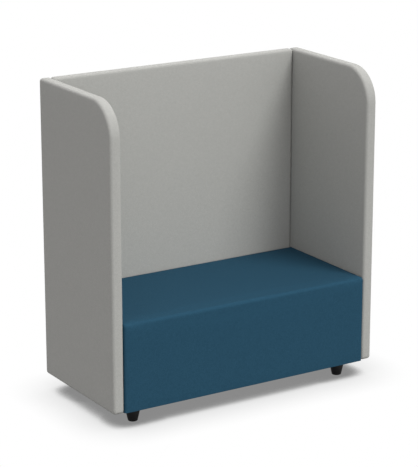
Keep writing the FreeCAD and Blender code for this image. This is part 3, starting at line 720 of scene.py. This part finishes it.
def footCone(size):  # one foot, with its middle at the origin
    objectMode()
    bpy.ops.mesh.primitive_cone_add(vertices=footShape["sides"], radius1=footShape["bottom"],
                                    radius2=size.x / 2, depth=size.z)
    foot = bpy.context.object
    editOnly(foot)
    roundEdges(foot, edgeAt(z=-size.z / 2), footShape["lowerRound"], footShape["lowerSteps"])
    roundEdges(foot, edgeAt(z=size.z / 2), footShape["upperRound"], footShape["upperSteps"])
    pick(foot, "FACE", lambda face: face.normal.z < -squareOn)
    bpy.ops.mesh.inset(thickness=footShape["padInset"], depth=0)
    bpy.ops.mesh.inset(thickness=footShape["padWall"], depth=-footShape["padDepth"])
    smoothShade(foot, footShape["smoothAngle"])
    dress(foot, blackMoulding)
    return foot


def makeFeet():
    low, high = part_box("foot_front_left")
    model = footCone(high - low)
    for corner in ("front_left", "front_right", "rear_left", "rear_right"):
        low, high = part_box("foot_" + corner)
        piece = model.copy()
        piece.data = model.data.copy()
        piece.name = piece.data.name = "foot." + corner
        piece.location = (low + high) / 2
        bpy.context.scene.collection.objects.link(piece)
        selectOnly(piece)
        applyPlace()
        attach(piece, "levelling_foot_" + corner)
        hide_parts("foot_" + corner)
    bpy.data.objects.remove(model)
    print("feet done")


makeFeet()


# finishes of the hidden parts that stay as they come

hiddenFinish = {"_core": panelBoard, "_bolts": zincSteel, "_nut_bars": zincSteel, "_hook_plates": zincSteel,
                "_slot_plates": zincSteel, "_stud_": zincSteel, "_nut_plates": zincSteel}
for name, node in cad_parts.items():
    finish = next((material for part, material in hiddenFinish.items() if part in name), frameBoard)
    dress(node, finish)
print("hidden parts dressed")


# floor and light

studio = {"floorSize": 80.0, "floorDrop": 0.0002, "floorTone": 1.0, "floorBounce": 0.27, "shadeTone": 0.250,
          "haloReach": 0.21, "haloSamples": 16, "haloShare": 0.45,
          "coreReach": 0.12, "coreSamples": 24, "coreStart": 0.335, "coreSlope": 2.5,
          "ambient": 0.826, "ambientTint": (1.022, 0.990, 1.017, 1), "backdrop": (1, 1, 1, 1)}
lamps = {  # power, angular size, azimuth to the right of the front, height
    "keySun": (1.76, 24.0, 22.5, 48.0),
    "frontSun": (0.29, 24.0, 10.0, 6.0),
    "rimSun": (1.03, 20.0, 140.0, 46.0),
}


def backgroundRay(tree):  # 1 where the floor or the world is looked at, straight or in a reflection
    path = addNode(tree, "ShaderNodeLightPath")
    mirrored = calc(tree, "MAXIMUM", path.outputs["Is Glossy Ray"], path.outputs["Is Transmission Ray"])
    return calc(tree, "MAXIMUM", path.outputs["Is Camera Ray"], mirrored)


def openAbove(tree, reach, samples):  # share of what is above a point that is free within reach
    free = addNode(tree, "ShaderNodeAmbientOcclusion", samples=samples)
    feed(tree, free.inputs["Distance"], reach)
    return free.outputs["AO"]


def contactShade(tree):  # soft shade of the bench on the floor
    around = openAbove(tree, studio["haloReach"], studio["haloSamples"])
    halo = spread(tree, around, 0.0, 1.0, toLow=1 - studio["haloShare"])
    under = openAbove(tree, studio["coreReach"], studio["coreSamples"])
    core = calc(tree, "MULTIPLY", calc(tree, "SUBTRACT", under, studio["coreStart"]), studio["coreSlope"])
    return calc(tree, "MAXIMUM", calc(tree, "MINIMUM", halo, core), studio["shadeTone"])


def makeFloor():
    objectMode()
    bpy.ops.mesh.primitive_plane_add(size=studio["floorSize"], location=(0, 0, -studio["floorDrop"]))
    floor = bpy.context.object
    floor.name = "floor"
    applyPlace()
    material = bpy.data.materials.new("paleFloor")
    material.use_nodes = True
    tree = material.node_tree
    tree.nodes.remove(tree.nodes["Principled BSDF"])
    glow = addNode(tree, "ShaderNodeEmission")
    level = spread(tree, backgroundRay(tree), 0.0, 1.0, studio["floorBounce"], studio["floorTone"])
    feed(tree, glow.inputs["Strength"], calc(tree, "MULTIPLY", contactShade(tree), level))
    tree.links.new(glow.outputs[0], tree.nodes["Material Output"].inputs["Surface"])
    dress(floor, material)


def makeWorld():
    world = bpy.data.worlds.new("studioWorld")
    bpy.context.scene.world = world
    world.use_nodes = True
    tree = world.node_tree
    ambient = tree.nodes["Background"]
    ambient.inputs["Color"].default_value = studio["ambientTint"]
    ambient.inputs["Strength"].default_value = studio["ambient"]
    backdrop = addNode(tree, "ShaderNodeBackground")
    backdrop.inputs["Color"].default_value = studio["backdrop"]
    either = addNode(tree, "ShaderNodeMixShader")
    tree.links.new(backgroundRay(tree), either.inputs[0])
    tree.links.new(ambient.outputs[0], either.inputs[1])
    tree.links.new(backdrop.outputs[0], either.inputs[2])
    tree.links.new(either.outputs[0], tree.nodes["World Output"].inputs["Surface"])


def makeLamps():
    for name, (power, softness, azimuth, height) in lamps.items():
        lamp = bpy.data.lights.new(name, "SUN")
        lamp.energy = power
        lamp.angle = math.radians(softness)
        sun = bpy.data.objects.new(name, lamp)
        bpy.context.scene.collection.objects.link(sun)
        sun.rotation_euler = (math.radians(90 - height), 0, math.radians(azimuth))


makeFloor()
makeWorld()
makeLamps()
print("studio done")


# camera at the photo's viewpoint, angles in degrees

photoView = {"place": (-4.3185, -6.8788, 3.0456), "yaw": 32.0844, "pitch": 16.2892,
             "focalPixels": 1973.40, "imageHeight": 467, "sensor": 36, "farthest": 200}


def makeCamera():
    lens = bpy.data.cameras.new("photoCamera")
    camera = bpy.data.objects.new("photoCamera", lens)
    bpy.context.scene.collection.objects.link(camera)
    camera.location = photoView["place"]
    camera.rotation_euler = (math.radians(90 - photoView["pitch"]), 0, math.radians(-photoView["yaw"]))
    lens.sensor_width = photoView["sensor"]
    lens.lens = photoView["focalPixels"] / photoView["imageHeight"] * photoView["sensor"]
    lens.clip_end = photoView["farthest"]
    bpy.context.scene.camera = camera


makeCamera()
objectMode()
